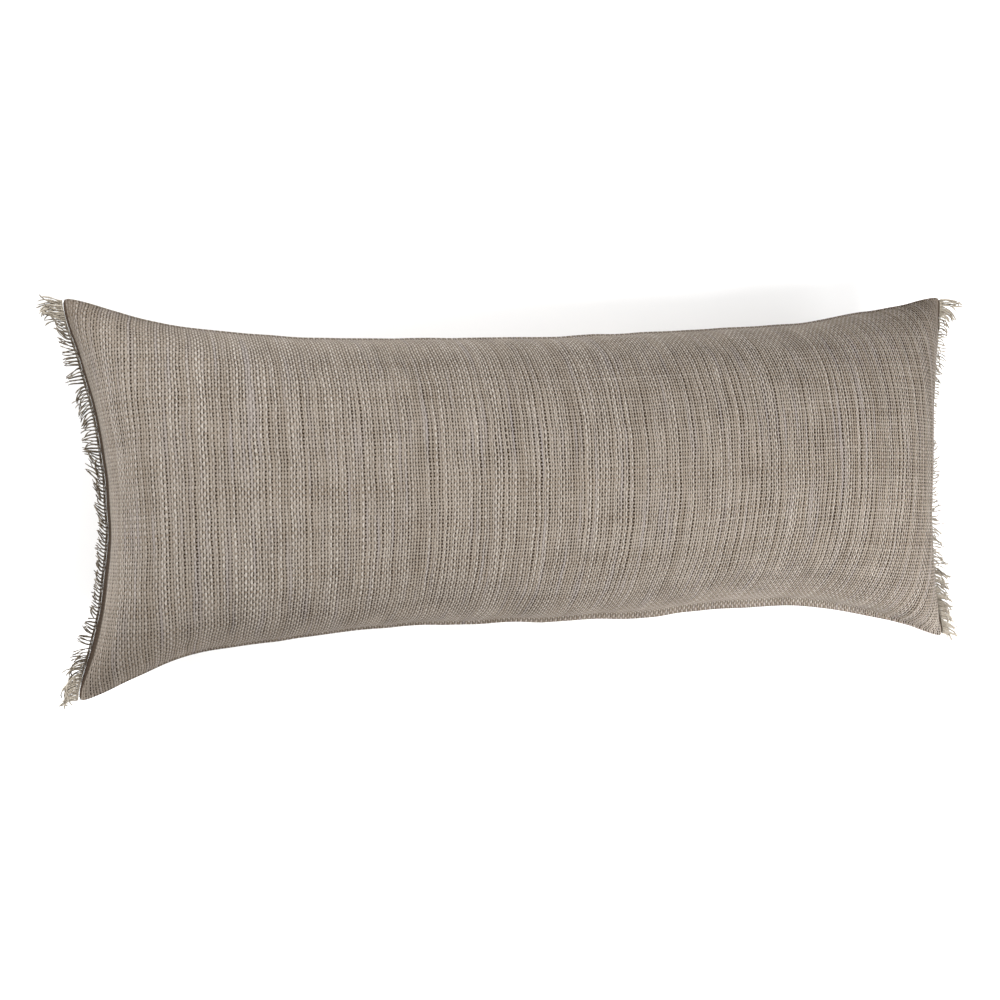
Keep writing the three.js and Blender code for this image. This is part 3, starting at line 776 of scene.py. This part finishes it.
# The right fringe
# The same frayed yarns at the other short end, longer, and half hidden from the camera by the filled end.
RIGHT_LAY = np.array([
    (-0.172, -38, -15, 0.0155), (-0.160, -35, -30, 0.0146), (-0.150, -15, -60, 0.0142),
    (-0.140, -20, -60, 0.0180), (-0.130, -35, -10, 0.0190), (-0.119, -38, -5, 0.0205),
    (-0.112, -10, -60, 0.0205), (-0.105, 0, -50, 0.0190), (-0.098, -10, -50, 0.0188),
    (-0.085, -20, -10, 0.0172), (-0.068, -20, -20, 0.0175), (-0.058, -25, -60, 0.0220),
    (-0.048, -5, 60, 0.0165), (-0.030, -15, 60, 0.0158), (0.000, -20, 60, 0.0150),
    (0.020, -10, 50, 0.0130), (0.030, -10, -40, 0.0085), (0.050, 0, -30, 0.0065),
    (0.085, -20, -40, 0.0058), (0.093, -10, -30, 0.0070), (0.102, -20, -50, 0.0088),
    (0.112, -10, -80, 0.0108), (0.119, -28, -20, 0.0085), (0.126, -15, -10, 0.0082),
    (0.135, 0, -30, 0.0086), (0.142, -15, -80, 0.0118), (0.148, -10, -80, 0.0116),
    (0.154, -18, -60, 0.0130), (0.160, -16, -30, 0.0205), (0.166, -12, -20, 0.0250),
    (0.172, -6, -12, 0.0205),
])
right_fringe = frayed_end("right_frayed_yarns", 1, RIGHT_LAY, 8)
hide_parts("right_fringe")

# The floor
# A plain pale board that the pillow lies on. It is part of the studio, not of the pillow.
FLOOR_REACH = 4.0            # from the middle to each side
STUDIO_BRIGHTNESS = 0.51     # of the white light from all round
floor_mesh = bpy.data.meshes.new("floor")
floor_corners = [(FLOOR_REACH * x, FLOOR_REACH * y, 0) for x, y in ((-1, -1), (1, -1), (1, 1), (-1, 1))]
floor_mesh.from_pydata(floor_corners, [], [(0, 1, 2, 3)])
floor = bpy.data.objects.new("floor", floor_mesh)
bpy.context.scene.collection.objects.link(floor)
board = bpy.data.materials.new("pale_board")
board.use_nodes = True
board.node_tree.nodes["Principled BSDF"].inputs["Base Color"].default_value = (0.95, 0.95, 0.95, 1)
board.node_tree.nodes["Principled BSDF"].inputs["Roughness"].default_value = 0.9
floor_mesh.materials.append(board)


def soft_lamp(name, place, size, power):
    """A round soft light that faces the pillow."""
    lamp = bpy.data.lights.new(name, "AREA")
    lamp.shape = "DISK"
    lamp.size = size
    lamp.energy = power
    holder = bpy.data.objects.new(name, lamp)
    place = Vector(place)
    holder.matrix_world = Matrix.Translation(place) @ (
        Vector((0, 0, SEAM_HEIGHT)) - place).to_track_quat("-Z", "Y").to_matrix().to_4x4()
    bpy.context.scene.collection.objects.link(holder)


soft_lamp("key_from_the_upper_left", (-1.66, 1.46, 1.40), 1.4, 76)
soft_lamp("near_fill_from_the_lower_right", (0.72, -0.64, 1.06), 0.8, 24)
soft_lamp("low_fill_from_the_right", (1.35, -0.45, 0.42), 0.6, 7)
studio = bpy.data.worlds.new("studio")
studio.use_nodes = True
studio.node_tree.nodes["Background"].inputs["Color"].default_value = (1, 1, 1, 1)
studio.node_tree.nodes["Background"].inputs["Strength"].default_value = STUDIO_BRIGHTNESS
bpy.context.scene.world = studio
bpy.context.scene.view_settings.view_transform = "Standard"

# The camera
# The photograph's viewpoint over the pillow lying on its back, found from the outline of its corners, edges
# and crown: to the left of straight above, level with its long middle line, and slightly rolled.
CAMERA_TURN = math.radians(21.0)
CAMERA_TILT = math.radians(1.18)
CAMERA_ROLL = math.radians(-1.83)
CAMERA_DISTANCE = 1.588
CAMERA_LENS = 61.14
AIM_OFFSET = Vector((-0.0452, -0.0150, 0))     # from the pillow's middle to where the camera looks
pillow_middle = Vector((to_frame[0], to_frame[1], SEAM_HEIGHT))
camera_place = pillow_middle + CAMERA_DISTANCE * Vector((
    -math.sin(CAMERA_TURN) * math.cos(CAMERA_TILT), math.sin(CAMERA_TILT),
    math.cos(CAMERA_TURN) * math.cos(CAMERA_TILT)))
away = (camera_place - pillow_middle - AIM_OFFSET).normalized()
right = Vector((0, 1, 0)).cross(away).normalized()
camera_data = bpy.data.cameras.new("camera")
camera_data.sensor_width = 36
camera_data.lens = CAMERA_LENS
camera = bpy.data.objects.new("camera", camera_data)
camera.matrix_world = (
    Matrix.Translation(camera_place) @ Matrix((right, away.cross(right), away)).transposed().to_4x4()
    @ Matrix.Rotation(CAMERA_ROLL, 4, "Z"))
bpy.context.scene.collection.objects.link(camera)
bpy.context.scene.camera = camera
